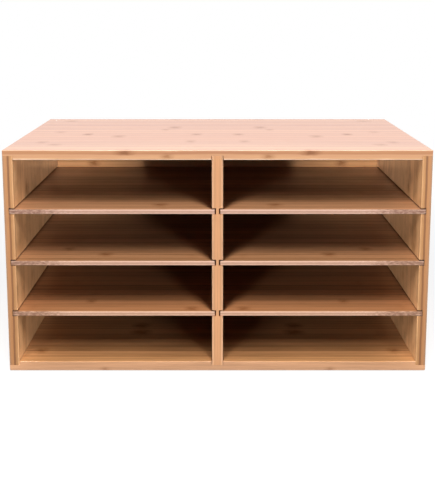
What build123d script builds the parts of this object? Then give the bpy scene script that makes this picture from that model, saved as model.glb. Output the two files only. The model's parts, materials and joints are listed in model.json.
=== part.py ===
from build123d import *
import os

# Bamboo desk file organizer: an open-fronted case of two columns, each split into four
# letter-size compartments by three loose shelves that slide out of through grooves.
# Millimetres. X runs left to right, -Y is the open front, +Z is up, and the origin is
# centred under the case on the surface that it stands on.

# Case
case_width = 508.0
case_depth = 305.0
case_height = 273.0
board_thickness = 12.0  # top, bottom and sides
divider_thickness = 13.5  # thicker, because it is grooved on both faces
case_ease = 1.2  # radius that takes the sharpness off a board's edges
largest_ease_share = 0.45  # of the thinnest side, so that a rounding leaves a flat

# Case joints
corner_rabbet_depth = 5.0  # how far a side is let into the top and the bottom
divider_dado_depth = 5.0  # how far the divider is let into the top and the bottom
joint_clearance = 0.4  # hairline beside a board in its rabbet or dado

# Shelves, named from the lowest up
level_names = ("lower", "middle", "upper")
top_row_extra = 2.1  # how much taller the top compartments are than the others
shelf_thickness = 5.5
shelf_ease = 0.8
side_groove_depth = 6.0
divider_groove_depth = 5.0
shelf_lift_clearance = 1.6  # air above a shelf in its groove
shelf_side_clearance = 0.4  # air between a shelf and its groove's bottom in the side
shelf_divider_clearance = 1.7  # the same in the divider, because shelves sit outwards
shelf_front_setback = 0.5
shelf_rear_clearance = 1.5

# Back panel
back_thickness = 5.5
back_groove_depth = 5.0
back_lip = 4.0  # wood left behind the groove
back_face_clearance = 0.2
back_edge_clearance = 0.5

# Countersunk screws, driven up through the bottom into each upright
screw_diameter = 4.0
screw_length = 30.0
screw_head_diameter = 8.0
screw_sink = 0.3  # how far a head lies inside its countersink
screw_inset = 60.0  # from the front and the rear to the end screws of a row
screws_per_upright = 2
screw_clearance = 0.1
drive_slot_width = 1.2
drive_slot_length = 4.4
drive_slot_depth = 1.5

# Planes that more than one board meets
outside = case_width / 2
front = -case_depth / 2
rear = case_depth / 2
floor_level = board_thickness
ceiling_level = case_height - board_thickness
inside = outside - board_thickness
divider_face = divider_thickness / 2
back_rear = rear - back_lip
back_front = back_rear - back_thickness
upright_centre = outside - board_thickness / 2
screw_rows = (-upright_centre, 0, upright_centre)

# Compartments and shelves share the height between floor and ceiling
row_count = len(level_names) + 1
shelf_total = len(level_names) * shelf_thickness
row_height = (ceiling_level - floor_level - shelf_total - top_row_extra) / row_count
shelf_pitch = row_height + shelf_thickness
shelf_undersides = {
    name: floor_level + row_height + step * shelf_pitch
    for step, name in enumerate(level_names)
}
column_names = ("left", "right")


def block(low, high):
    """A plain cuboid between its lowest and highest corners."""
    size = [top - bottom for bottom, top in zip(low, high)]
    return Pos(*low) * Box(*size, align=Align.MIN)


def eased(blank, edges, radius):
    """The blank with these edges rounded over, as far as its thinnest side allows."""
    thinnest = min(blank.bounding_box().size)
    return fillet(edges, min(radius, largest_ease_share * thinnest))


def flipped(shape):
    """The shape mirrored to the other column."""
    return mirror(shape, about=Plane.YZ)


def for_column(shape, column):
    """A right-hand shape, mirrored for the left column."""
    return flipped(shape) if column == "left" else shape


def shelf_grooves(low_x, high_x, high_y):
    """One groove for each shelf, open at the front and running back to high_y."""
    height = shelf_thickness + shelf_lift_clearance
    return [
        block((low_x, front, z), (high_x, high_y, z + height))
        for z in shelf_undersides.values()
    ]


def back_groove(low_x, high_x, low_z, high_z):
    """The slot that an edge of the back panel sits in, seated against the rear lip."""
    low = (low_x, back_front - back_face_clearance, low_z)
    return block(low, (high_x, back_rear, high_z))


def screw_body(clearance, sink):
    """A countersunk screw, point up, with its head's face on the XY plane. A clearance,
    and a sink by which the head's cone goes on below that face, make it the hole that
    such a screw needs."""
    head = screw_head_diameter / 2 + clearance
    shank = screw_diameter / 2 + clearance
    tip = screw_length + clearance
    outline = Polyline(
        (0, -sink),
        (head + sink, -sink),
        (shank, head - shank),
        (shank, tip - screw_diameter),
        (0, tip),
        close=True,
    )
    return revolve(Plane.XZ * make_face(outline), Axis.Z)


def screw():
    """One screw, with the cross-shaped recess of its drive."""
    slot = Box(drive_slot_length, drive_slot_width, 2 * drive_slot_depth)
    return screw_body(0, 0) - slot - Rot(Z=90) * slot


def screw_places(x):
    """Where the screws of the upright at x stand, spread evenly from front to rear."""
    spacing = (case_depth - 2 * screw_inset) / (screws_per_upright - 1)
    return [
        Pos(x, front + screw_inset + step * spacing, screw_sink)
        for step in range(screws_per_upright)
    ]


def screw_holes(x):
    """The holes for the screws of the upright at x, in the bottom and in the upright."""
    return [place * screw_body(screw_clearance, screw_sink) for place in screw_places(x)]


def cap_board(low_z, inner_z, deeper):
    """The top or bottom board, with a rabbet for each side, a dado for the divider and
    a groove for the back cut into its face at inner_z, in the direction deeper."""
    high_z = low_z + board_thickness
    blank = block((-outside, front, low_z), (outside, rear, high_z))
    board = eased(blank, blank.edges(), case_ease)

    shoulder = inside - joint_clearance
    low, high = sorted((inner_z, inner_z + deeper * corner_rabbet_depth))
    rabbet = block((shoulder, front, low), (outside, rear, high))

    half_dado = divider_face + joint_clearance
    low, high = sorted((inner_z, inner_z + deeper * divider_dado_depth))
    dado = block((-half_dado, front, low), (half_dado, back_front, high))

    back_reach = inside + back_groove_depth
    low, high = sorted((inner_z, inner_z + deeper * back_groove_depth))
    groove = back_groove(-back_reach, back_reach, low, high)
    return board - rabbet - flipped(rabbet) - dado - groove


def top_panel():
    """Runs the full width, over both sides and the divider."""
    return cap_board(ceiling_level, ceiling_level, 1)


def bottom_panel():
    """The top panel's twin, grooved in its upper face and drilled for the screws."""
    board = cap_board(0, floor_level, -1)
    for x in screw_rows:
        for hole in screw_holes(x):
            board -= hole
    return board


def side_panel():
    """The right-hand side, let into the rabbets of the top and the bottom."""
    low_z = floor_level - corner_rabbet_depth
    high_z = ceiling_level + corner_rabbet_depth
    blank = block((inside, front, low_z), (outside, rear, high_z))
    board = eased(blank, blank.edges().filter_by(Axis.Z), case_ease)
    cuts = shelf_grooves(inside, inside + side_groove_depth, rear)
    cuts.append(back_groove(inside, inside + back_groove_depth, low_z, high_z))
    for cut in cuts + screw_holes(upright_centre):
        board -= cut
    return board


def centre_divider():
    """The upright between the columns, grooved on both faces, up against the back."""
    low_z = floor_level - divider_dado_depth
    high_z = ceiling_level + divider_dado_depth
    blank = block((-divider_face, front, low_z), (divider_face, back_front, high_z))
    front_edges = blank.edges().filter_by(Axis.Z).group_by(Axis.Y)[0]
    board = eased(blank, front_edges, case_ease)
    groove_bottom = divider_face - divider_groove_depth
    for groove in shelf_grooves(groove_bottom, divider_face, back_front):
        board = board - groove - flipped(groove)
    for hole in screw_holes(0):
        board -= hole
    return board


def back_panel():
    """One sheet across both columns, standing in the bottom groove and held all round."""
    half_width = inside + back_groove_depth - back_edge_clearance
    return block(
        (-half_width, back_front, floor_level - back_groove_depth),
        (half_width, back_rear, ceiling_level + back_groove_depth - back_edge_clearance),
    )


def shelf(underside):
    """A right-hand shelf lying on the floors of its two grooves."""
    blank = block(
        (
            divider_face - divider_groove_depth + shelf_divider_clearance,
            front + shelf_front_setback,
            underside,
        ),
        (
            inside + side_groove_depth - shelf_side_clearance,
            back_front - shelf_rear_clearance,
            underside + shelf_thickness,
        ),
    )
    return eased(blank, blank.edges().filter_by(Axis.X), shelf_ease)


def bottom_screws():
    """All the screws under the case, as separate solids."""
    return Compound([place * screw() for x in screw_rows for place in screw_places(x)])


def all_pieces():
    """Every piece of the organizer by its name."""
    pieces = {
        "top_panel": top_panel(),
        "bottom_panel": bottom_panel(),
        "centre_divider": centre_divider(),
        "back_panel": back_panel(),
        "bottom_screws": bottom_screws(),
    }
    for column in column_names:
        pieces[f"{column}_side_panel"] = for_column(side_panel(), column)
        for level, underside in shelf_undersides.items():
            pieces[f"{column}_{level}_shelf"] = for_column(shelf(underside), column)
    return pieces


pieces = all_pieces()
os.makedirs("parts", exist_ok=True)
for name, piece in pieces.items():
    export_step(piece, f"parts/{name}.step")
print(f"{len(pieces)} nodes, lower rows {row_height:.1f} mm high")
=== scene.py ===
# %% [markdown]
# # A bamboo desk file organizer, dressed for a photograph
#
# The organizer is a low, wide case of caramel-coloured bamboo with two columns of four
# paper compartments. Its joinery, its shelves and every rounded edge are already solid
# pieces, so this lesson adds no shape. It brings in those pieces, stands a camera and
# studio lights in front of them, and works out one bamboo finish that runs right
# through the wood, so that faces, edges and grooves all show the grain they should.

# %% Load the finished solids
import json
import math

import bpy
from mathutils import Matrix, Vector

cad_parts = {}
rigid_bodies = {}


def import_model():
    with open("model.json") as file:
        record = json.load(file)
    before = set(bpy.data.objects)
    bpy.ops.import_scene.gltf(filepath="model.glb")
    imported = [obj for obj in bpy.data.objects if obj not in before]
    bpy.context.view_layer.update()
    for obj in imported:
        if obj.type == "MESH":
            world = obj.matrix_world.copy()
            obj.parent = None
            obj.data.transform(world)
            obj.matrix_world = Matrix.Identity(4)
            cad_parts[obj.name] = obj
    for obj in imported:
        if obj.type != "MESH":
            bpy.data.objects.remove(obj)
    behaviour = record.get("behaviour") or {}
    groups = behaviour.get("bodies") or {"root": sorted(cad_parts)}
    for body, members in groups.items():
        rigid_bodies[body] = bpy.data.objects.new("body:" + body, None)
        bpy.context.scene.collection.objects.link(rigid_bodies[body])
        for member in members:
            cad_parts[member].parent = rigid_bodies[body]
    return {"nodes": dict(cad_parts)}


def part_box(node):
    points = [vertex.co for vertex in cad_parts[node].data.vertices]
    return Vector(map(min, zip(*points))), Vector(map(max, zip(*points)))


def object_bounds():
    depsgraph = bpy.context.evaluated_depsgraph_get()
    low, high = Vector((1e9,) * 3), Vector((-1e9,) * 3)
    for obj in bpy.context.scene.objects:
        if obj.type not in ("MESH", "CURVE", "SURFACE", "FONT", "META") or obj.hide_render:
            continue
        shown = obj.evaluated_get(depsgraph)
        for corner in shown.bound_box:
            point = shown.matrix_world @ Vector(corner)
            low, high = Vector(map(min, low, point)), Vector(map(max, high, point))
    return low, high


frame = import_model()
nodes = frame["nodes"]
solid_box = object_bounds()

# %% [markdown]
# ## Measures that the looks depend on
#
# Blender works in metres, while a joiner thinks in millimetres. The finish changes at
# certain planes, such as the front edge of a shelf. They could be typed in, but those
# that a piece's box shows are read from it, so the finish follows when a piece changes.

# %% Read the main planes from the pieces
MM = 0.001
level_names = ("lower", "middle", "upper")
case_low, case_high = solid_box
width, depth, height = case_high - case_low
front_y = case_low.y
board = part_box("bottom_panel")[1].z
side_inner_x = width / 2 - board
divider_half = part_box("centre_divider")[1].x
shelf_low, shelf_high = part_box("left_upper_shelf")
shelf_thickness = shelf_high.z - shelf_low.z
shelf_front = shelf_low.y
shelf_tops = {level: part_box(f"left_{level}_shelf")[1].z for level in level_names}
print("case", [round(side / MM, 1) for side in (width, depth, height)], "mm")
print("boards", round(board / MM, 1), "mm and shelves", round(shelf_thickness / MM, 1), "mm")
print("shelf tops", {level: round(z / MM, 1) for level, z in shelf_tops.items()}, "mm")

# %% [markdown]
# ## The camera
#
# The photograph was taken from straight in front, a little above the case, with the
# film upright and the lens shifted down, so that the sides stay upright. So large a
# shift would push the case out of the frame when the camera goes round it. This camera
# has less than half of that shift and looks down for the rest, which narrows the case
# a little towards its foot.

# %% Stand the camera in front of the case
camera_distance = 1.175
camera_height = 0.433
camera_tilt = math.radians(8.79)
film_width = 36
lens_length = 64.01
lens_shift = -0.20

camera_data = bpy.data.cameras.new("camera")
camera_data.lens = lens_length
camera_data.sensor_width = film_width
camera_data.shift_y = lens_shift
camera = bpy.data.objects.new("camera", camera_data)
camera.location = (0, -camera_distance, camera_height)
camera.rotation_euler = (math.pi / 2 - camera_tilt, 0, 0)
bpy.context.scene.collection.objects.link(camera)
bpy.context.scene.camera = camera
print("camera", round(camera_distance - depth / 2, 3), "m in front of the case")

# %% [markdown]
# ## Helpers for node trees
#
# A material is a tree of shader nodes. They could be wired by hand in the editor, but
# this finish takes hundreds of them. These small helpers add a node, set or join its
# inputs, and do one step of arithmetic, noise or colour mixing.

# %% Start a material, add a node and join its inputs
def feed(tree, socket, value):
    """Joins the socket to another socket, or sets it to a plain value."""
    if isinstance(value, bpy.types.NodeSocket):
        tree.links.new(value, socket)
    else:
        socket.default_value = value


def add(tree, kind, inputs=None, **settings):
    """A new node of this kind with its settings, and its inputs by name or number."""
    node = tree.nodes.new("ShaderNode" + kind)
    for name, value in settings.items():
        setattr(node, name, value)
    for name, value in (inputs or {}).items():
        feed(tree, node.inputs[name], value)
    return node


def new_material(name):
    """A material of this name, and its tree, still empty."""
    material = bpy.data.materials.new(name)
    material.use_nodes = True
    material.node_tree.nodes.clear()
    return material, material.node_tree


print("nodes can be joined")

# %% Work out numbers and vectors
def calc(tree, operation, *terms):
    """One step of arithmetic on numbers or sockets."""
    node = add(tree, "Math", dict(enumerate(terms)), operation=operation)
    return node.outputs[0]


def vector_calc(tree, operation, *terms):
    """One step of arithmetic on vectors."""
    node = add(tree, "VectorMath", dict(enumerate(terms)), operation=operation)
    return node.outputs["Value" if operation == "LENGTH" else "Vector"]


def ramped(tree, value, low, high, start=0.0, end=1.0):
    """Takes value from start to end, smoothly, as it goes from low to high."""
    inputs = {"Value": value, "From Min": low, "From Max": high, "To Min": start, "To Max": end}
    node = add(tree, "MapRange", inputs, interpolation_type="SMOOTHSTEP")
    return node.outputs["Result"]


def faded(tree, value, low, high):
    """1 up to low, falling smoothly to 0 at high."""
    return ramped(tree, value, low, high, 1.0, 0.0)


def from_whole(tree, value):
    """How far the value is from the nearest whole number, from 0 to a half."""
    return calc(tree, "PINGPONG", value, 0.5)


print("numbers can be worked out")

# %% Make noise and mix colours
NOISE_MIDDLE = 0.5
WHITE = (1, 1, 1, 1)
# The colour sockets of a Mix node share their names with others, so they go by number.
MIX_FIRST, MIX_SECOND, MIX_RESULT = 6, 7, 2


def noise(tree, place, scale, detail):
    """Soft noise about its middle value, with this many finer layers."""
    return add(tree, "TexNoise", {"Vector": place, "Scale": scale, "Detail": detail}).outputs


def random_value(tree, number):
    """A random value from 0 to 1, always the same one for the same number."""
    return add(tree, "TexWhiteNoise", {"W": number}, noise_dimensions="1D").outputs["Value"]


def blend_colour(tree, share, first, second, how="MIX"):
    """The first colour, mixed with the second by share."""
    inputs = {"Factor": share, MIX_FIRST: first, MIX_SECOND: second}
    return add(tree, "Mix", inputs, data_type="RGBA", blend_type=how).outputs[MIX_RESULT]


def tinted(tree, share, colour, tint):
    """The colour, multiplied by the tint, by this share."""
    return blend_colour(tree, share, colour, tint, "MULTIPLY")


print("colours can be mixed")

# %% [markdown]
# ### Groups
#
# Every board shares the same strips, fibres and marks. Copying their nodes into each
# material would work, but a group is made once and changed in one place.

# %% Make a group with named sockets
SOCKET_KINDS = {
    "number": "NodeSocketFloat",
    "vector": "NodeSocketVector",
    "colour": "NodeSocketColor",
}


def new_group(name, inputs, outputs):
    """An empty group whose inputs are {name: (kind, value)} and outputs {name: kind}."""
    tree = bpy.data.node_groups.new(name, "ShaderNodeTree")
    for socket_name, (kind, value) in inputs.items():
        socket = tree.interface.new_socket(
            name=socket_name, in_out="INPUT", socket_type=SOCKET_KINDS[kind])
        socket.default_value = value
    for socket_name, kind in outputs.items():
        tree.interface.new_socket(
            name=socket_name, in_out="OUTPUT", socket_type=SOCKET_KINDS[kind])
    given = tree.nodes.new("NodeGroupInput").outputs
    results = tree.nodes.new("NodeGroupOutput").inputs
    return tree, given, results


def numbers_named(*names):
    """Group inputs of these names, all plain numbers."""
    return {name: ("number", 0.0) for name in names}


def use_group(tree, group, inputs):
    """The outputs of the group, placed in a tree with its inputs set or joined by name."""
    return add(tree, "Group", inputs, node_tree=group).outputs


print("groups can be made")

# %% [markdown]
# ## White surroundings
#
# The background of the photograph is pure white, yet the compartments are dark inside,
# so little light came from all round. A plain white world would fill them with light.
# Light Path tells the world which kind of ray is asking: the camera and reflections see
# white, and everything else gets a dim fill.

# %% Make the world
world_fill = 0.05
fill_tint = (0.80, 1.0, 1.35, 1)
matt_bounce_counts = 2.0
bounce_limit = 1.5  # lets through one glossy bounce and no matt one


def seen_directly(tree):
    """1 for rays from the camera and for what they meet first in a reflection or through
    glass, and 0 for light that has bounced more often."""
    path = add(tree, "LightPath").outputs
    mirrored = calc(tree, "MAXIMUM", path["Is Glossy Ray"], path["Is Transmission Ray"])
    bounces = calc(
        tree, "MULTIPLY_ADD", path["Diffuse Depth"], matt_bounce_counts, path["Glossy Depth"])
    first = calc(tree, "LESS_THAN", bounces, bounce_limit)
    return calc(tree, "MAXIMUM", path["Is Camera Ray"], calc(tree, "MULTIPLY", mirrored, first))


world = bpy.data.worlds.new("white studio")
world.use_nodes = True
world_tree = world.node_tree
world_tree.nodes.clear()
seen = seen_directly(world_tree)
background = add(world_tree, "Background", {
    "Color": blend_colour(world_tree, seen, fill_tint, WHITE),
    "Strength": calc(world_tree, "MAXIMUM", seen, world_fill),
})
add(world_tree, "OutputWorld", {"Surface": background.outputs[0]})
world.cycles.sampling_method = "NONE"
bpy.context.scene.world = world
bpy.context.scene.view_settings.view_transform = "Standard"
print("world fill", world_fill)

# %% [markdown]
# ## The floor
#
# The case stands on a white sheet. A white floor lit by lamps would throw light up into
# the compartments. So the sheet glows almost white where it is seen directly, with just
# enough matt colour left in it to keep the shadow of the case. To the light that
# bounces on into the compartments it is a dull grey.

# %% Lay the floor
floor_radius = 6.0
floor_corners = 96
floor_drop = 0.2 * MM
floor_glow = 0.72
floor_grey = 0.245
floor_fade = (0.45, 1.1)
floor_bounce = 0.12


def grey(level):
    """A neutral colour of this level."""
    return (level, level, level, 1)


def flat_plate(name, corners):
    """One flat face with these corners."""
    mesh = bpy.data.meshes.new(name)
    mesh.from_pydata(corners, [], [list(range(len(corners)))])
    plate = bpy.data.objects.new(name, mesh)
    bpy.context.scene.collection.objects.link(plate)
    return plate


def disc(name, radius, corners, z):
    """A flat round plate: corner i stands at the angle 2 pi i / corners."""
    turn = 2 * math.pi / corners
    angles = [i * turn for i in range(corners)]
    return flat_plate(name, [(radius * math.cos(a), radius * math.sin(a), z) for a in angles])


def floor_material():
    """White where it is seen directly, a dull grey to light on its way elsewhere."""
    material, tree = new_material("floor_white")
    place = add(tree, "TexCoord").outputs["Object"]
    far = ramped(tree, vector_calc(tree, "LENGTH", place), *floor_fade)
    strength = calc(tree, "MULTIPLY_ADD", far, 1 - floor_glow, floor_glow)
    glow = add(tree, "Emission", {"Color": WHITE, "Strength": strength})
    matt = add(tree, "BsdfDiffuse", {"Color": blend_colour(tree, far, grey(floor_grey), grey(0))})
    shown = add(tree, "AddShader", {0: glow.outputs[0], 1: matt.outputs[0]})
    dull = add(tree, "BsdfDiffuse", {"Color": grey(floor_bounce)})
    both = add(tree, "MixShader", {0: seen_directly(tree), 1: dull.outputs[0], 2: shown.outputs[0]})
    add(tree, "OutputMaterial", {"Surface": both.outputs[0]})
    return material


floor = disc("floor", floor_radius, floor_corners, -floor_drop)
floor.data.materials.append(floor_material())
print("floor of", len(floor.data.vertices), "corners")

# %% [markdown]
# ## Lamps
#
# Every lamp is a rectangle, like a soft box, because a point lamp would draw hard
# shadows. It is placed by a turn to the right of straight ahead and a rise above the
# level. Its power could be found by trial. Here it is worked out from how strongly it
# should light a plain matt surface, so a lamp that moves away gets more.

# %% Make, place and power a lamp
def lamp(name, place, target, size, power):
    """A rectangular lamp of this (width, height) at place, turned to face target."""
    data = bpy.data.lights.new(name, "AREA")
    data.shape = "RECTANGLE"
    data.size, data.size_y = size
    data.energy = power
    made = bpy.data.objects.new(name, data)
    made.location = place
    made.rotation_euler = (Vector(target) - Vector(place)).to_track_quat("-Z", "Y").to_euler()
    made.visible_camera = False
    bpy.context.scene.collection.objects.link(made)
    return made


def lamp_place(target, turn, rise, reach):
    """The point at this turn to the right and rise above the level, seen from target."""
    level_reach = reach * math.cos(rise)
    return (
        target[0] + level_reach * math.sin(turn),
        target[1] - level_reach * math.cos(turn),
        target[2] + reach * math.sin(rise),
    )


def lamp_power(strength, reach):
    """The watts that light a plain matt surface at this distance to this strength: the
    strength times the square of pi times the distance."""
    return strength * (math.pi * reach) ** 2


def collection_of(name, things):
    """A collection with these objects in it, for linking lamps to."""
    made = bpy.data.collections.new(name)
    for thing in things:
        made.objects.link(thing)
    return made


print("lamp helpers ready")

# %% [markdown]
# ## Black cards
#
# In both columns a dark wedge spreads from the divider towards the back, while the
# outer side boards are lit. Light from the right front therefore fills only the left
# column, and light from the left front only the right one. A narrower lamp would still
# spill over, so an upright black card beside each beam keeps it off the near column. It
# stops light, and nothing sees it.

# %% Stand a black card beside each beam
card_distance = 0.32
card_inner = 0.127
card_outer = 0.36
card_height = 1.4


def card(name, side):
    """An upright sheet that only stops light: nothing sees it."""
    y = front_y - card_distance
    inner, outer = side * card_inner, side * card_outer
    corners = [(inner, y, 0), (outer, y, 0), (outer, y, card_height), (inner, y, card_height)]
    sheet = flat_plate(name, corners)
    sheet.visible_camera = False
    sheet.visible_diffuse = False
    sheet.visible_glossy = False
    sheet.visible_transmission = False
    return sheet


cards = {"right": card("card_right", 1), "left": card("card_left", -1)}
print(len(cards), "cards")

# %% [markdown]
# ## The crossing beams
#
# Low lamps near the table reach deep into the compartments, and high lamps light the
# front of each floor. How far a high lamp reaches in depends on its rise. One for all
# rows would be simpler, but in the photograph that reach differs from row to row, so
# each level of shelves, the base and the uprights have a high lamp of their own.
#
# Light linking says which pieces a lamp lights and which may shade it. A shelf belongs
# to one column, so its lamps leave out the other column's shelves and need no card,
# whose edge would draw a line on a shelf that is pulled out. The case spans both
# columns, so its lamps have the card. The side boards and the back take one more low
# lamp. Lamps in one place can give another picture at each run, so each stands a step
# behind the last one.

# %% Say which pieces go together under a lamp
upright_names = ("left_side_panel", "right_side_panel", "centre_divider", "back_panel")
wall_names = ("left_side_panel", "right_side_panel", "back_panel")

pieces = list(nodes.values())
everything = collection_of("shades the lamps", pieces + [floor])
base = collection_of("base", [nodes["bottom_panel"], nodes["bottom_screws"]])
uprights = collection_of("uprights", [nodes[name] for name in upright_names])
case_pieces = collection_of("case without its top", list(base.objects) + list(uprights.objects))
wall_pieces = collection_of("walls", [nodes[name] for name in wall_names])

# %% Choose the lamps of one side
high_rises = {"upper": 46.0, "middle": 49.5, "lower": 52.5, "bottom": 48.8, "uprights": 47.0}
high_size = (0.75, 1.80)
level_strength = 0.943
low_rise = math.radians(7.5)
low_size = (0.40, 0.26)
low_strength, wall_strength = 0.38, 0.39
low_beam = ("low", low_rise, low_size, low_strength)
wall_beam = ("wall", low_rise, low_size, wall_strength)


def high_beam(lit_name):
    """A tall lamp whose rise suits these pieces. Its strength is divided by the sine of the
    rise, so that it lights a level face alike at any rise."""
    rise = math.radians(high_rises[lit_name])
    return ("high", rise, high_size, level_strength / math.sin(rise))


def lit_groups(side_name, across):
    """(name, pieces lit, pieces that shade, kind of lamp) for each lamp of this side."""
    shelves = {level: nodes[f"{across}_{level}_shelf"] for level in level_names}
    column = collection_of(f"{across} shelves", shelves.values())
    with_card = collection_of(f"shades the {side_name} beams", pieces + [floor, cards[side_name]])
    groups = [
        ("shelves", column, everything, low_beam),
        ("case", case_pieces, with_card, low_beam),
        ("walls", wall_pieces, with_card, wall_beam),
    ]
    for level, shelf in shelves.items():
        alone = collection_of(f"{across} {level} shelf", [shelf])
        groups.append((level, alone, everything, high_beam(level)))
    groups.append(("bottom", base, with_card, high_beam("bottom")))
    groups.append(("uprights", uprights, with_card, high_beam("uprights")))
    return groups


print("rises of the high lamps", high_rises)

# %% Light the two columns
beam_turn = math.radians(25)
beam_reach = 3.0
beam_step = 0.06


def beam(kind, side_name, lit_name, lit, shading, reach):
    """A lamp at the front of this side that lights the column across from it. The kind is
    (name, rise, size, strength)."""
    lamp_kind, rise, size, strength = kind
    side = 1 if side_name == "right" else -1
    target = (-side * width / 4, front_y, height / 2)
    place = lamp_place(target, side * beam_turn, rise, reach)
    power = lamp_power(strength, reach)
    made = lamp(f"{lamp_kind}_beam_{side_name}_on_{lit_name}", place, target, size, power)
    made.light_linking.receiver_collection = lit
    made.light_linking.blocker_collection = shading
    return made


beams = []
for side_name, across in (("right", "left"), ("left", "right")):
    for step, (lit_name, lit, shading, kind) in enumerate(lit_groups(side_name, across)):
        reach = beam_reach + step * beam_step
        beams.append(beam(kind, side_name, lit_name, lit, shading, reach))
print(len(beams), "beams")

# %% [markdown]
# ## Plain light for the top, the floor, the sides and the back
#
# The cards would draw streaks on the top board and on the floor, so those two have a
# plain lamp of their own. Weaker lamps all round show the outer sides and the back, and
# nearly level ones show the edges of the top. The level ones, and the ones behind, are
# kept out of the reflections, where they would wash out the top and a shelf that is
# pulled out.

# %% Light the rest plainly
plain_rise = math.radians(40)
plain_reach = 3.0
plain_size = (1.6, 1.2)
plain_strength = 1.82
side_turn, side_strength = 100, 0.50
rear_turn, rear_strength = 155, 0.42
around_rise, around_size = math.radians(28), (1.4, 1.4)
level_rise, level_size = math.radians(3), (1.4, 0.4)

around_lamps = (
    (side_turn, side_strength, True),
    (-side_turn, side_strength, True),
    (rear_turn, rear_strength, False),
    (-rear_turn, rear_strength, False),
)
top_pieces = collection_of("top", [nodes["top_panel"]])
plain_pieces = collection_of("lit plainly", [nodes["top_panel"], floor])
all_but_top = collection_of(
    "all but the top", [piece for piece in pieces if piece.name != "top_panel"])
around_kinds = (
    ("around", around_rise, around_size, all_but_top),
    ("level", level_rise, level_size, top_pieces),
)

centre = (0, 0, height / 2)
plain_place = lamp_place(centre, 0, plain_rise, plain_reach)
plain_power = lamp_power(plain_strength, plain_reach)
plain = lamp("plain_front", plain_place, centre, plain_size, plain_power)
plain.light_linking.receiver_collection = plain_pieces
plain.light_linking.blocker_collection = everything
for turn, strength, reflected in around_lamps:
    for name, rise, size, lit in around_kinds:
        place = lamp_place(centre, math.radians(turn), rise, plain_reach)
        made = lamp(f"{name}_{turn}", place, centre, size, lamp_power(strength, plain_reach))
        made.light_linking.receiver_collection = lit
        made.visible_glossy = reflected and name == "around"
print(len(around_lamps) * len(around_kinds), "lamps round the sides and back")

# %% [markdown]
# ## How bamboo board is built up
#
# Bamboo grows as a thin tube, so it is split into strips about 19 mm wide, steamed
# until the sugar in it turns caramel, and glued side by side. Each strip keeps its own
# tone, has fine straight fibres, and shows a darker band where the cane had a joint.
# A flat pattern laid on each face would break at the edges. Here the finish is worked
# out in three directions: along the grain, across the strips and through the thickness.
# The same wood then appears on every face and in every groove.
#
# The strips come first. Counting them across the board gives each one a whole number,
# and noise turns that number into a tone of its own. Some strips are denser, and so
# darker, along their edges.

# %% Group: strips, each with its own number and a fine glue line
strip_width = 19.4 * MM
glue_line = 0.35 * MM
dense_margin = 2.6 * MM
dense_seed = 1.31

strips, given, results = new_group(
    "bamboo_strips",
    numbers_named("Across", "Seed"),
    {name: "number" for name in ("Strip", "Tone", "From Edge", "Glue Line", "Edge Shade")},
)
counted = calc(strips, "DIVIDE", given["Across"], strip_width)
number = calc(strips, "ADD", calc(strips, "FLOOR", counted), given["Seed"])
from_edge = from_whole(strips, counted)
dense = faded(strips, from_edge, 0.0, dense_margin / strip_width)
dense_amount = random_value(strips, calc(strips, "MULTIPLY", number, dense_seed))
feed(strips, results["Strip"], number)
feed(strips, results["Tone"], random_value(strips, number))
feed(strips, results["From Edge"], from_edge)
feed(strips, results["Glue Line"], faded(strips, from_edge, 0.0, glue_line / strip_width))
feed(strips, results["Edge Shade"], calc(strips, "MULTIPLY", dense, dense_amount))
print(strips.name, "has", len(strips.nodes), "nodes")

# %% [markdown]
# ### Fibres
#
# Bamboo has straight fibres that run the length of a strip. They could be drawn as a
# wave, which looks too even. Noise that is stretched along the grain gives fibres when
# its spots are short and thin, streaks when they are longer, and broad clouds of tone
# when they are very long. Each strip slides along by its own amount, so the fibres
# break at the glue lines.

# %% Group: fibres and streaks that follow the grain
strip_slide = 3.7
# The length and thickness of the spots, and their finer layers.
grain_spots = {
    "Fibre": (22 * MM, 0.7 * MM, 2.0),
    "Streak": (130 * MM, 2.6 * MM, 2.0),
    "Cloud": (300 * MM, 8 * MM, 1.0),
}

fibres, given, results = new_group(
    "bamboo_fibres",
    numbers_named("Along", "Across", "Through", "Strip"),
    {name: "number" for name in grain_spots},
)
slid = calc(fibres, "MULTIPLY_ADD", given["Strip"], strip_slide, given["Along"])
for name, (length, thickness, detail) in grain_spots.items():
    stretched = add(fibres, "CombineXYZ", {
        "X": calc(fibres, "DIVIDE", slid, length),
        "Y": calc(fibres, "DIVIDE", given["Across"], thickness),
        "Z": calc(fibres, "DIVIDE", given["Through"], thickness),
    })
    feed(fibres, results[name], noise(fibres, stretched.outputs[0], 1.0, detail)["Fac"])
print(fibres.name, "has", len(fibres.nodes), "nodes")

# %% [markdown]
# ### Growth marks at chosen places
#
# A few dark, ragged marks are easy to recognize in the photograph. Random ones would
# miss them, so each is given as a soft oval: the distance from its centre, in half
# lengths and pushed about by noise, gives a wide halo with a small dark heart.

# %% Group: a growth mark at a chosen place
ragged_scale, ragged_detail = 1.4, 3.0
halo_from, halo_to, halo_dark = 0.2, 1.15, 0.62
heart_from, heart_to, heart_dark = 0.1, 0.5, 0.38

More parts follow.
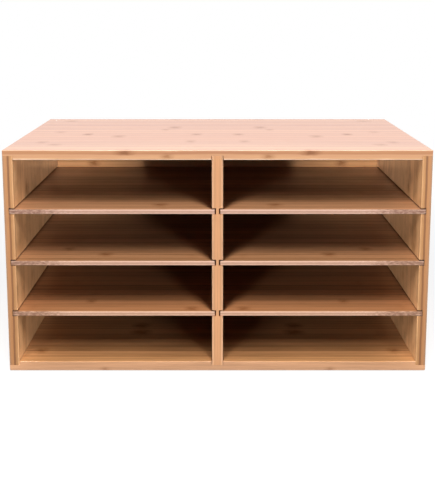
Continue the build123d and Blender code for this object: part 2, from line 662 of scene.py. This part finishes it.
growth_mark, given, results = new_group(
    "growth_mark",
    {
        "Vector": ("vector", (0, 0, 0)),
        "Centre": ("vector", (0, 0, 0)),
        "Size": ("vector", (1, 1, 1)),
        "Strength": ("number", 1.0),
    },
    {"Mark": "number"},
)
offset = vector_calc(growth_mark, "SUBTRACT", given["Vector"], given["Centre"])
scaled = vector_calc(growth_mark, "DIVIDE", offset, given["Size"])
pushed = noise(growth_mark, scaled, ragged_scale, ragged_detail)["Color"]
pushed = vector_calc(growth_mark, "SUBTRACT", pushed, [NOISE_MIDDLE] * 3)
distance = vector_calc(growth_mark, "LENGTH", vector_calc(growth_mark, "ADD", scaled, pushed))
halo = ramped(growth_mark, distance, halo_from, halo_to, halo_dark, 0.0)
heart = ramped(growth_mark, distance, heart_from, heart_to, heart_dark, 0.0)
whole = calc(growth_mark, "ADD", halo, heart)
feed(growth_mark, results["Mark"], calc(growth_mark, "MULTIPLY", whole, given["Strength"]))
print(growth_mark.name, "has", len(growth_mark.nodes), "nodes")

# %% [markdown]
# ### Scattered growth marks
#
# The other marks only have to look natural, so chance can place them. The cane has a
# joint about every 290 mm, and each strip starts at a random place between two of them,
# so the joints are counted along the strip from such a start. Each shows as an uneven
# band that is narrow at the strip's edges and bulges in its middle, and some are faint.

# %% Group: growth marks scattered along every strip
joint_spacing = 290 * MM
joint_half = 2.0 * MM
joint_bulge = 20 * MM
joint_unevenness = 0.09
start_seed, joint_seed = 1.7, 5.3

scattered, given, results = new_group(
    "scattered_marks",
    numbers_named("Along", "Strip", "From Edge", "Fibre", "Amount"),
    {"Mark": "number"},
)
start = random_value(scattered, calc(scattered, "MULTIPLY", given["Strip"], start_seed))
joints_along = calc(
    scattered, "ADD", calc(scattered, "DIVIDE", given["Along"], joint_spacing), start)
uneven = calc(
    scattered, "MULTIPLY_ADD", given["Fibre"], joint_unevenness, -joint_unevenness / 2)
off_joint = calc(scattered, "ADD", from_whole(scattered, joints_along), uneven)
band_half = calc(
    scattered, "MULTIPLY_ADD", given["From Edge"], joint_bulge / joint_spacing,
    joint_half / joint_spacing)
band = faded(scattered, off_joint, 0.0, band_half)
joint_number = calc(
    scattered, "ADD", calc(scattered, "ROUND", joints_along),
    calc(scattered, "MULTIPLY", given["Strip"], joint_seed))
how_dark = calc(scattered, "MULTIPLY", given["Amount"], random_value(scattered, joint_number))
feed(scattered, results["Mark"], calc(scattered, "MULTIPLY", band, how_dark))
print(scattered.name, "has", len(scattered.nodes), "nodes")

# %% [markdown]
# ### All of it together
#
# Tone, streaks, fibres and clouds add up to one number, the depth of tone, which picks a
# colour between a pale and a deep one. A colour could be picked for each of them, but
# one number keeps the wood in one family of browns. The marks and the glue lines then
# darken it. A mark is also a little rougher and higher, and a glue line lower.

# %% Group: bamboo, from the three directions to colour, roughness and height
usual_pale = (0.8, 0.45, 0.25, 1)
usual_deep = (0.55, 0.27, 0.13, 1)
tone_share, streak_share, fibre_share, cloud_share = 0.60, 1.00, 0.55, 0.85
dense_share = 0.75
paler_by = 0.05
mark_tint = (0.50, 0.38, 0.24, 1)
glue_tint = (0.80, 0.72, 0.66, 1)
break_from, break_to, break_least = 0.25, 0.6, 0.55
smoothest, fibre_roughness, mark_roughness = 0.36, 0.16, 0.10
mark_rise = 0.6

bamboo, given, results = new_group(
    "bamboo",
    {
        "Vector": ("vector", (0, 0, 0)),
        "Seed": ("number", 0.0),
        "Pale": ("colour", usual_pale),
        "Deep": ("colour", usual_deep),
        **numbers_named("Placed Marks", "Scattered Marks"),
    },
    {"Color": "colour", "Roughness": "number", "Height": "number"},
)
parts = add(bamboo, "SeparateXYZ", {0: given["Vector"]}).outputs
strip_out = use_group(bamboo, strips, {"Across": parts["Y"], "Seed": given["Seed"]})
grain = use_group(bamboo, fibres, {
    "Along": parts["X"],
    "Across": parts["Y"],
    "Through": parts["Z"],
    "Strip": strip_out["Strip"],
})
loose_marks = use_group(bamboo, scattered, {
    "Along": parts["X"],
    "Strip": strip_out["Strip"],
    "From Edge": strip_out["From Edge"],
    "Fibre": grain["Fibre"],
    "Amount": given["Scattered Marks"],
})
marks = calc(bamboo, "MAXIMUM", loose_marks["Mark"], given["Placed Marks"])

rest = 1 - tone_share - streak_share - fibre_share - cloud_share
depth_of_tone = NOISE_MIDDLE * rest - paler_by
for part, share in (
    (strip_out["Tone"], tone_share),
    (grain["Streak"], streak_share),
    (grain["Fibre"], fibre_share),
    (grain["Cloud"], cloud_share),
    (strip_out["Edge Shade"], dense_share),
):
    depth_of_tone = calc(bamboo, "MULTIPLY_ADD", part, share, depth_of_tone)
wood = blend_colour(bamboo, depth_of_tone, given["Pale"], given["Deep"])
breaks = ramped(bamboo, grain["Fibre"], break_from, break_to, break_least, 1.0)
wood = tinted(bamboo, calc(bamboo, "MULTIPLY", marks, breaks), wood, mark_tint)
wood = tinted(bamboo, strip_out["Glue Line"], wood, glue_tint)
feed(bamboo, results["Color"], wood)

roughness = calc(bamboo, "MULTIPLY_ADD", grain["Fibre"], fibre_roughness, smoothest)
roughness = calc(bamboo, "MULTIPLY_ADD", marks, mark_roughness, roughness)
feed(bamboo, results["Roughness"], roughness)
rise = calc(bamboo, "MULTIPLY_ADD", marks, mark_rise, grain["Fibre"])
feed(bamboo, results["Height"], calc(bamboo, "SUBTRACT", rise, strip_out["Glue Line"]))
print(bamboo.name, "has", len(bamboo.nodes), "nodes")

# %% [markdown]
# ## From wood to board
#
# A board is cut from this wood along its own length, so each kind of board turns the
# pattern its own way. Unwrapping every board would do it too, but the Object
# coordinates of Blender already run through the solid wood. The two halves of the
# photograph mirror each other, and taking the distance from the middle plane, whatever
# the side, gives the boards the same symmetry.

# %% Turn the pattern and place the marks
def directions(tree, order, slide):
    """The place in the wood, the place on the case, and its three axes, with the distance
    from the middle plane in place of X. The order names the axes that run along, across
    and through the wood, and the slide moves the strips sideways."""
    place = add(tree, "TexCoord").outputs["Object"]
    plain_axes = add(tree, "SeparateXYZ", {0: place}).outputs
    axes = {name: plain_axes[name] for name in "XYZ"}
    axes["X"] = calc(tree, "ABSOLUTE", axes["X"])
    along, across, through = (axes[name] for name in order)
    across = calc(tree, "ADD", across, slide)
    in_wood = add(tree, "CombineXYZ", {"X": along, "Y": across, "Z": through})
    on_case = add(tree, "CombineXYZ", axes)
    return in_wood.outputs[0], on_case.outputs[0], axes


def placed_marks(tree, on_case, marks):
    """The strongest of the growth marks, each a centre and half lengths in millimetres
    with how dark it is."""
    strongest = 0.0
    for centre_mm, size_mm, darkness in marks:
        mark = use_group(tree, growth_mark, {
            "Vector": on_case,
            "Centre": [part * MM for part in centre_mm],
            "Size": [part * MM for part in size_mm],
            "Strength": darkness,
        })["Mark"]
        strongest = calc(tree, "MAXIMUM", strongest, mark)
    return strongest


print("boards can be cut")

# %% [markdown]
# ### Plies
#
# Where a board is sawn through, its plies show as bands of different tones. They could
# be thin pieces of their own, but they are one surface, so a colour ramp lays them
# across the thickness. Its borders wander by a fraction of a millimetre. The same ramp
# also carries painted highlights along some edges and painted light on the bottom's
# front edge.

# %% Lay the plies across the thickness
ply_wander = 1.6 * MM
wander_scale, wander_detail = 28.0, 3.0


def wandering(tree, position, wander, reach):
    """The position, moved to and fro by noise over this reach."""
    off_middle = calc(tree, "SUBTRACT", wander, NOISE_MIDDLE)
    return calc(tree, "MULTIPLY_ADD", off_middle, reach, position)


def ply_and_light_bands(tree, position, low, high, bands):
    """Tints across a board's thickness, (millimetres from low, tint) for each ply, painted
    highlight or painted light.
    """
    place = add(tree, "TexCoord").outputs["Object"]
    wander = noise(tree, place, wander_scale, wander_detail)["Fac"]
    moved = wandering(tree, position, wander, ply_wander)
    share = add(tree, "MapRange", {"Value": moved, "From Min": low, "From Max": high})
    ramp = add(tree, "ValToRGB", {0: share.outputs["Result"]})
    stops = ramp.color_ramp.elements
    ready_stops = len(stops)
    span = (high - low) / MM
    for number, (where, tint) in enumerate(bands):
        stop = stops[number] if number < ready_stops else stops.new(where / span)
        stop.position = where / span
        stop.color = (*tint, 1)
    return ramp.outputs["Color"]


print("plies wander by up to", round(ply_wander / MM / 2, 1), "mm")

# %% [markdown]
# ### Grooves, undersides and front strips
#
# The insides of the grooves and the faces that look down are darkened with painted
# shade, and the front strips of the top and of the lowest floor are paled with painted
# sheen and painted light. Each of these could have a material of its own, but they are
# parts of one board, so masks made from the case's own axes pick them out.

# %% Pick out grooves, undersides and front strips
groove_air = 1.6 * MM
groove_half = (shelf_thickness + groove_air) / 2
groove_soft = 0.2 * MM
side_groove_depth = 6.0 * MM
divider_groove_depth = 5.0 * MM
face_skin_low, face_skin_high = 1.2 * MM, 0.8 * MM
fully_pale = 0.25
# Painted shade: the faces that look down are darkened by this tint.
underside_shade_tint = (0.42, 0.52, 0.66, 1)


def near_levels(tree, position, levels, half, soft):
    """1 within half of any of these levels, fading to 0 over the soft margin beyond."""
    mask = 0.0
    for level in levels:
        off_level = calc(tree, "ABSOLUTE", calc(tree, "SUBTRACT", position, level))
        mask = calc(tree, "MAXIMUM", mask, faded(tree, off_level, half, half + soft))
    return mask


def inside_grooves(tree, axes, low_x, high_x):
    """1 in the shelf grooves between these distances from the middle plane."""
    middles = [top + groove_air - groove_half for top in shelf_tops.values()]
    at_height = near_levels(tree, axes["Z"], middles, groove_half, groove_soft)
    below = ramped(tree, axes["X"], low_x - groove_soft, low_x)
    above = faded(tree, axes["X"], high_x, high_x + groove_soft)
    return calc(tree, "MULTIPLY", at_height, calc(tree, "MULTIPLY", below, above))


def shade_undersides(tree, colour, axes):
    """Darkens the faces of the shelves and of the top that look down with painted shade."""
    undersides = [top - shelf_thickness for top in shelf_tops.values()] + [height - board]
    share = near_levels(tree, axes["Z"], undersides, groove_soft / 2, groove_soft / 2)
    return tinted(tree, share, colour, underside_shade_tint)


def paint_front_light(tree, colour, axes, face, reach, tint):
    """Paints light on a board's upper face, at this height, from the front to this far back."""
    by_depth = faded(tree, axes["Y"], front_y + reach * fully_pale, front_y + reach)
    on_face = ramped(tree, axes["Z"], face - face_skin_low, face - face_skin_high)
    return tinted(tree, calc(tree, "MULTIPLY", by_depth, on_face), colour, tint)


print("grooves", round(2 * groove_half / MM, 1), "mm high")

# %% [markdown]
# ## The lacquer
#
# Over the wood lies a clear satin lacquer. It is a coat on the shader: nearly
# invisible from straight on, and a pale sheen at a low angle, which is what turns the
# top board almost white in the photograph. A glossier wood under no coat would lose the
# colour of the grain.

# %% Build a finished bamboo material
coat_share = 0.75
coat_roughness = 0.22
coat_ior = 1.5
wood_specular = 0.3
bump_depth = 0.06 * MM


def bamboo_material(name, order, pale, deep, slide, seed, marks=(), loose=0.0,
                    bands=None, extra=None, coat=coat_share):
    """Lacquered bamboo cut in this order of directions, between a pale and a deep tone.
    The bands are (axis, low, high, stops), and extra may change the colour further."""
    material, tree = new_material(name)
    in_wood, on_case, axes = directions(tree, order, slide)
    wood = use_group(tree, bamboo, {
        "Vector": in_wood,
        "Seed": seed,
        "Pale": (*pale, 1),
        "Deep": (*deep, 1),
        "Placed Marks": placed_marks(tree, on_case, marks),
        "Scattered Marks": loose,
    })
    colour = wood["Color"]
    if bands:
        axis, low, high, stops = bands
        colour = tinted(tree, 1.0, colour, ply_and_light_bands(tree, axes[axis], low, high, stops))
    if extra:
        colour = extra(tree, colour, axes)
    bump = add(tree, "Bump", {"Height": wood["Height"], "Distance": bump_depth, "Strength": 1.0})
    shader = add(tree, "BsdfPrincipled", {
        "Base Color": colour,
        "Roughness": wood["Roughness"],
        "Normal": bump.outputs[0],
        "Coat Weight": coat,
        "Coat Roughness": coat_roughness,
        "Coat IOR": coat_ior,
        "Specular IOR Level": wood_specular,
    })
    add(tree, "OutputMaterial", {"Surface": shader.outputs[0]})
    return material


def dress(material, *names):
    """Gives the material to these pieces."""
    for name in names:
        piece = nodes[name]
        piece.data.materials.clear()
        piece.data.materials.append(material)
    print(material.name, "on", ", ".join(names))


print("lacquer over", bamboo.name)

# %% [markdown]
# ## The top
#
# The top board has its grain running across the case. Along its front edge the upper
# ply shows darker and the lower one lighter, and a painted highlight draws a bright line
# along the sharp inner edge. Painted sheen pales the front strip of its upper face. A
# painted picture could show all that, but marks and bands that are given in millimetres
# stay sharp from near by.

# %% Finish the top
# Painted sheen: the front strip of the top's upper face is paled by this tint, up to this reach.
top_front_reach = 110 * MM
top_front_sheen_tint = (1.0, 1.10, 1.15, 1)
top_marks = [
    ((217, 126, 273), (15, 12, 6), 0.7),
    ((212, 4, 273), (10, 12, 6), 0.5),
    ((172, -18, 273), (9, 12, 6), 1.3),
    ((129, -37, 273), (12, 16, 6), 0.8),
    ((219, -90, 273), (10, 16, 6), 0.5),
    ((200, -110, 273), (12, 12, 6), 0.6),
    ((60, 53, 273), (12, 18, 6), 0.9),
    ((72, 29, 273), (8, 12, 6), 0.6),
    ((28, -18, 273), (10, 12, 6), 1.0),
    ((34, -82, 273), (9, 16, 6), 0.6),
    ((64, 146, 273), (12, 10, 6), 0.6),
    ((110, -152, 270), (16, 10, 4.5), 1.2),
    ((60, -152, 265.5), (11, 8, 4), 0.9),
]
# The first two stops paint a highlight along the lower front edge; the others are the plies.
top_bands_and_highlight = [
    (0.0, (1.16, 1.70, 2.00)),
    (0.9, (1.16, 1.70, 2.00)),
    (1.6, (0.72, 0.80, 0.67)),
    (6.2, (0.70, 0.78, 0.65)),
    (7.6, (0.53, 0.51, 0.39)),
    (10.8, (0.54, 0.52, 0.41)),
    (11.7, (1.0, 1.0, 1.0)),
]


def shade_and_sheen_top(tree, colour, axes):
    """Paints shade on the underside of the top and sheen on its front strip."""
    underside_shaded = shade_undersides(tree, colour, axes)
    return paint_front_light(tree, underside_shaded, axes, height, top_front_reach, top_front_sheen_tint)


top_wood = bamboo_material(
    "bamboo_top", "XYZ", pale=(0.80, 0.40, 0.225), deep=(0.60, 0.26, 0.165), slide=0.164,
    seed=3.0, marks=top_marks, bands=("Z", height - board, height, top_bands_and_highlight),
    extra=shade_and_sheen_top, coat=0.62)
dress(top_wood, "top_panel")

# %% [markdown]
# ## The bottom
#
# The bottom board is the top's twin, but its upper face is the floor of the lowest
# compartments, a deeper brown. Painted light pales the front strip of that floor, and
# the front edge is lighter, partly in its own colour and partly by painted light. It
# could share the top's material, but then its marks and its tone would be the top's as
# well.

# %% Finish the bottom
# Painted light: the front strip of the lowest floor is paled by this tint, up to this reach.
bottom_front_reach = 26 * MM
bottom_front_light_tint = (1.10, 1.11, 1.06, 1)
bottom_marks = [
    ((222, -118, 12), (11, 13, 5), 0.9),
    ((104, -29, 12), (16, 13, 5), 1.5),
    ((102, -54, 12), (18, 14, 5), 1.5),
    ((138, -152, 2), (9, 8, 4), 0.7),
]
# The front edge is lighter, partly its own colour and partly painted light for the foot of the
# case.
bottom_bands_and_light = [
    (0.0, (1.09, 1.20, 1.53)),
    (3.4, (1.01, 1.11, 1.38)),
    (5.2, (1.03, 1.11, 1.35)),
    (11.0, (1.04, 1.12, 1.35)),
    (11.7, (1.0, 1.0, 1.0)),
]


def light_bottom_front(tree, colour, axes):
    """Paints light on the front strip of the lowest compartments' floor."""
    return paint_front_light(tree, colour, axes, board, bottom_front_reach, bottom_front_light_tint)


bottom_wood = bamboo_material(
    "bamboo_bottom", "XYZ", pale=(0.62, 0.296, 0.124), deep=(0.31, 0.138, 0.048),
    slide=0.1565, seed=41.0, marks=bottom_marks, bands=("Z", 0.0, board, bottom_bands_and_light),
    extra=light_bottom_front)
dress(bottom_wood, "bottom_panel")

# %% [markdown]
# ## The sides
#
# The side boards stand with their grain upright. On the front edge of each, three plies
# show: tan outside, a darker core, and a light ply towards the compartments, with a
# painted highlight along the inner edge. Painted shade darkens the inside of the grooves.
# Both boards take one material, since the bands run outwards from the inner face of
# either.

# %% Finish the sides
# Painted shade inside the grooves of the side boards.
side_groove_shade_tint = (0.16, 0.06, 0.03, 1)
side_marks = [
    ((242, -79, 214), (6, 8, 13), 1.0),
    ((242, -64, 95), (6, 8, 12), 0.5),
]
# The first stop paints a highlight along the inner edge; the others are the plies.
side_bands_and_highlight = [
    (0.0, (1.10, 1.07, 1.05)),
    (0.4, (0.62, 0.57, 0.49)),
    (1.5, (0.49, 0.42, 0.31)),
    (2.3, (0.48, 0.40, 0.27)),
    (3.5, (0.42, 0.33, 0.20)),
    (4.3, (0.22, 0.135, 0.045)),
    (5.8, (0.23, 0.145, 0.055)),
    (6.6, (0.45, 0.34, 0.21)),
    (9.2, (0.44, 0.34, 0.24)),
    (10.3, (0.36, 0.32, 0.29)),
    (11.4, (0.43, 0.40, 0.39)),
    (11.9, (0.85, 0.79, 0.76)),
]


def shade_side_grooves(tree, colour, axes):
    """Paints shade inside the grooves of a side board."""
    low_x = side_inner_x + 2 * groove_soft
    share = inside_grooves(tree, axes, low_x, side_inner_x + side_groove_depth)
    return tinted(tree, share, colour, side_groove_shade_tint)


side_wood = bamboo_material(
    "bamboo_sides", "ZYX", pale=(0.70, 0.40, 0.195), deep=(0.50, 0.27, 0.122), slide=0.167,
    seed=17.0, marks=side_marks, loose=0.2, bands=("X", side_inner_x, width / 2, side_bands_and_highlight),
    extra=shade_side_grooves)
dress(side_wood, "left_side_panel", "right_side_panel")

# %% [markdown]
# ## The divider
#
# The divider stands upright too. Its two front edges are eased, and a painted highlight
# makes them paler than the strip between them. Painted shade darkens its grooves, less
# than those of the sides, because the photograph shows a lighter brown in them.

# %% Finish the divider
# Painted shade inside the divider's grooves, and a painted highlight on its two front edges.
divider_groove_shade_tint = (0.60, 0.36, 0.20, 1)
edge_highlight_tint = (1.10, 1.26, 1.52, 1)
edge_highlight_from, edge_highlight_to = 2.6 * MM, 1.8 * MM


def divider_highlight_and_shade(tree, colour, axes):
    """Paints a highlight on the divider's two front edges and shade inside its grooves."""
    edge = ramped(tree, axes["X"], divider_half - edge_highlight_from, divider_half - edge_highlight_to)
    paler = tinted(tree, edge, colour, edge_highlight_tint)
    high_x = divider_half - 2 * groove_soft
    share = inside_grooves(tree, axes, divider_half - divider_groove_depth, high_x)
    return tinted(tree, share, paler, divider_groove_shade_tint)


divider_wood = bamboo_material(
    "bamboo_divider", "ZXY", pale=(0.85, 0.42, 0.188), deep=(0.525, 0.242, 0.105),
    slide=0.160, seed=29.0, extra=divider_highlight_and_shade)
dress(divider_wood, "centre_divider")

# %% [markdown]
# ## The back
#
# The back is one thin sheet with its grain running across. Only a narrow strip of it
# shows in the top row. The one mark in that strip is placed, and the others, which the
# photograph does not show, are scattered.

# %% Finish the back
back_marks = [
    ((188, 143, 207), (13, 6, 7), 1.0),
]
back_wood = bamboo_material(
    "bamboo_back", "XZY", pale=(0.77, 0.385, 0.163), deep=(0.56, 0.275, 0.106), slide=0.004,
    seed=53.0, marks=back_marks, loose=0.8)
dress(back_wood, "back_panel")

# %% [markdown]
# ## The shelves
#
# A shelf is a thin sheet with a sawn front edge that took less colour: it is paler and
# pinker than its face, with a darker line along its core and a grey, speckled patch
# towards its outer end. The edge could be a strip of its own, but it is only a change
# of colour, so the material lays it over the wood in the first millimetre behind the
# front. Painted shade darkens the underside and the ends, which lie in the grooves.

# %% Work out the sawn edge of a shelf
edge_pale = (0.625, 0.395, 0.29, 1)
edge_light = (0.72, 0.50, 0.40, 1)
edge_grey = (0.22, 0.106, 0.066, 1)
low_edge_tint = (1.16, 1.13, 1.03, 1)
high_edge_tint = (0.975, 0.975, 0.98, 1)
core_tint = (0.74, 0.66, 0.64, 1)
core_half, core_soft, core_wander = 0.5 * MM, 1.0 * MM, 1.6 * MM
speck_length, speck_height = 5.0 * MM, 1.8 * MM
broad_scale, broad_detail = 1.0, 2.0
fine_scale, fine_detail = 2.3, 1.0
fleck_from, fleck_to = 0.52, 0.66
patch_from, patch_to, patch_wander = 206 * MM, 252 * MM, 60 * MM
speck_from, speck_to, speck_least, speck_most = 0.36, 0.60, 0.32, 0.84


def core_line(tree, axes, wander):
    """1 along a thin line halfway up each shelf's edge, which wanders a little."""
    middles = [top - shelf_thickness / 2 for top in shelf_tops.values()]
    position = wandering(tree, axes["Z"], wander, core_wander)
    return near_levels(tree, position, middles, core_half, core_soft)


def edge_colour(tree, axes):
    """The sawn edge: flecked pale wood with its core line and its grey patch. It is a
    little lighter on the lower shelves."""
    stretched = add(tree, "CombineXYZ", {
        "X": calc(tree, "DIVIDE", axes["X"], speck_length),
        "Y": calc(tree, "DIVIDE", axes["Z"], speck_height),
    }).outputs[0]
    broad = noise(tree, stretched, broad_scale, broad_detail)["Fac"]
    fine = noise(tree, stretched, fine_scale, fine_detail)["Fac"]
    reach = calc(tree, "MULTIPLY_ADD", broad, patch_wander, axes["X"])

    near_patch = ramped(tree, reach, patch_from - patch_wander, patch_from)
    fleck = calc(tree, "MULTIPLY", near_patch, ramped(tree, fine, fleck_from, fleck_to))
    edge = blend_colour(tree, fleck, edge_pale, edge_light)
    edge = tinted(tree, core_line(tree, axes, broad), edge, core_tint)

    specks = ramped(tree, broad, speck_from, speck_to, speck_least, speck_most)
    patch = calc(tree, "MULTIPLY", ramped(tree, reach, patch_from, patch_to), specks)
    edge = blend_colour(tree, patch, edge, edge_grey)

    lowest = min(shelf_tops.values()) - shelf_thickness
    up = ramped(tree, axes["Z"], lowest, max(shelf_tops.values()))
    return tinted(tree, 1.0, edge, blend_colour(tree, up, low_edge_tint, high_edge_tint))


print("grey patch from", round(patch_from / MM), "to", round(patch_to / MM), "mm out")

# %% Finish the shelves
edge_depth = 0.9 * MM
# Painted shade on the shelf ends where they lie in the grooves.
end_shade_tint = (0.62, 0.52, 0.46, 1)
shelf_coat = 0.3
first_slide, slide_step = 0.158, 3 * MM
first_seed, seed_step = 71.0, 13.0


def shade_and_sawn_edge(tree, colour, axes):
    """Paints shade on the underside and on the ends where they lie in the grooves, and
    lays the paler edge over the wood near the front."""
    outer_end = ramped(tree, axes["X"], side_inner_x - groove_soft, side_inner_x + groove_soft)
    inner_end = faded(tree, axes["X"], divider_half - groove_soft, divider_half + groove_soft)
    ends = calc(tree, "MAXIMUM", outer_end, inner_end)
    underside_shaded = shade_undersides(tree, colour, axes)
    end_shaded = tinted(tree, ends, underside_shaded, end_shade_tint)
    at_front = faded(tree, axes["Y"], shelf_front + edge_depth / 2, shelf_front + edge_depth)
    return blend_colour(tree, at_front, end_shaded, edge_colour(tree, axes))


shelf_looks = {
    "upper": {
        "pale": (0.64, 0.311, 0.158),
        "deep": (0.31, 0.146, 0.060),
        "marks": [((70, -126, 201), (13, 12, 5), 1.0)],
    },
    "middle": {
        "pale": (0.65, 0.310, 0.153),
        "deep": (0.315, 0.145, 0.057),
        "marks": [((187, -97, 138), (11, 12, 5), 0.9), ((138, -122, 138), (12, 12, 5), 1.1)],
    },
    "lower": {
        "pale": (0.60, 0.262, 0.113),
        "deep": (0.295, 0.120, 0.042),
        "marks": [((158, -113, 75), (9, 12, 5), 0.8), ((32, -141, 75), (11, 10, 5), 0.9)],
    },
}
for number, (level_name, looks) in enumerate(shelf_looks.items()):
    shelf_wood = bamboo_material(
        f"bamboo_{level_name}_shelves", "XYZ", slide=first_slide + number * slide_step,
        seed=first_seed + number * seed_step, loose=0.25, extra=shade_and_sawn_edge, coat=shelf_coat,
        **looks)
    dress(shelf_wood, f"left_{level_name}_shelf", f"right_{level_name}_shelf")

# %% [markdown]
# ## The screws
#
# The screws under the case are zinc-plated steel, a metal with a soft, slightly mottled
# shine. One plain metal would look like chrome, so a fine noise varies both its colour
# and its roughness.

# %% Finish the screws
zinc_light = (0.66, 0.65, 0.62, 1)
zinc_dark = (0.50, 0.49, 0.46, 1)
mottle_scale, mottle_detail = 900.0, 3.0
mottle_from, mottle_to = 0.2, 0.8
zinc_smoothest, zinc_roughest = 0.28, 0.5

zinc, zinc_tree = new_material("zinc_plate")
zinc_place = add(zinc_tree, "TexCoord").outputs["Object"]
mottle = noise(zinc_tree, zinc_place, mottle_scale, mottle_detail)["Fac"]
zinc_shader = add(zinc_tree, "BsdfPrincipled", {
    "Base Color": blend_colour(zinc_tree, mottle, zinc_light, zinc_dark),
    "Metallic": 1.0,
    "Roughness": ramped(zinc_tree, mottle, mottle_from, mottle_to, zinc_smoothest, zinc_roughest),
})
add(zinc_tree, "OutputMaterial", {"Surface": zinc_shader.outputs[0]})
dress(zinc, "bottom_screws")
